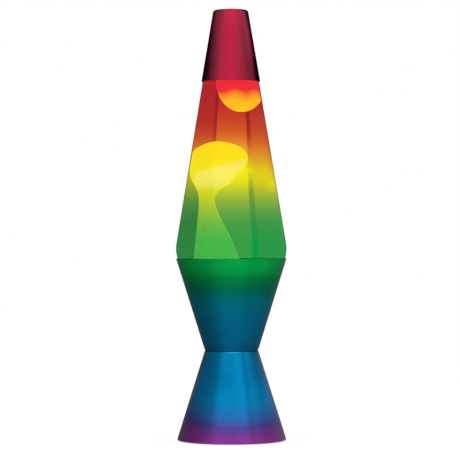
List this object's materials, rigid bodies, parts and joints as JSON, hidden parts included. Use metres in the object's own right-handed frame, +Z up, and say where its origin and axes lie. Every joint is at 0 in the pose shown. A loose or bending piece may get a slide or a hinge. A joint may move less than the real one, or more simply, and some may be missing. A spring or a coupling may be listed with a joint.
{
  "type": "liquid motion lamp",
  "caption": "Hourglass table lamp: a tapered glass globe of liquid and rising wax stands in a spun metal cone over a bulb, under a conical metal cap.",
  "frame": {"origin": "centre of the circle that the lamp stands on, on the surface", "axes": "+Z up the lamp's axis to the cap; the cord bush faces +Y, the back; +X to the right seen from the front"},
  "size_m": [0.0945, 0.0946, 0.3683],
  "materials": {
    "base_lacquer": "satin lacquer over spun metal, blue at the waist running to purple at the foot",
    "cup_lacquer": "satin lacquer over spun metal, green at the rim running to blue at the waist",
    "cap_lacquer": "satin magenta-red lacquer over spun metal",
    "painted_glass": "clear glass tinted red at the top, yellow in the middle and green at the foot",
    "liquid": "clear tinted liquid",
    "wax": "smooth glowing wax",
    "coil_steel": "bright spring wire",
    "liner": "soft sealing disc",
    "closure_metal": "gold lacquered tinplate",
    "black_plastic": "fine moulded grain",
    "foot_rubber": "matt",
    "grommet_rubber": "matt",
    "phenolic": "semi-matt moulding",
    "brass": "bright",
    "plated_steel": "zinc plated",
    "bulb_glass": "clear",
    "bulb_metal": "bright threaded sheet",
    "bulb_bead": "black vitrite",
    "solder": "dull solder",
    "lead_wire": "drawn wire"
  },
  "bodies": {
    "base": {"base_cone": "base_lacquer", "bottom_plate": "black_plastic", "foot_pads": "foot_rubber", "cord_grommet": "grommet_rubber", "cup_cone": "cup_lacquer", "lampholder_body": "phenolic", "lampholder_sleeve": "brass", "lampholder_contact": "brass", "terminal_plates": "brass", "lampholder_rivets": "brass", "terminal_screws": "plated_steel", "lampholder_cover": "phenolic", "clamp_washer": "plated_steel", "ring_nut": "plated_steel"},
    "bulb": {"bulb_envelope": "bulb_glass", "bulb_screw_base": "bulb_metal", "bulb_insulator": "bulb_bead", "bulb_tip_contact": "solder", "bulb_stem": "bulb_glass", "bulb_lead_wires": "lead_wire", "bulb_filament": "lead_wire"},
    "globe": {"globe_glass": "painted_glass", "liquid": "liquid", "wax_lower": "wax", "coil_ring": "coil_steel", "closure_liner": "liner", "bottle_closure": "closure_metal"},
    "wax_float": {"wax_upper": "wax"},
    "cap": {"top_cap": "cap_lacquer"}
  },
  "joints": [
    {"name": "globe_lift", "type": "slide", "parent": "base", "child": "globe", "axis": [0, 0, 1], "range_m": [0, 0.08]},
    {"name": "cap_lift", "type": "slide", "parent": "globe", "child": "cap", "axis": [0, 0, 1], "range_m": [0, 0.07]},
    {"name": "bulb_turn", "type": "hinge", "parent": "base", "child": "bulb", "pos_m": [0, 0, 0.07], "axis": [0, 0, 1], "range_deg": [0, 1260]},
    {"name": "wax_sink", "type": "slide", "parent": "globe", "child": "wax_float", "axis": [0, 0, 1], "range_m": [-0.022, 0], "deforming": ["liquid"]}
  ]
}
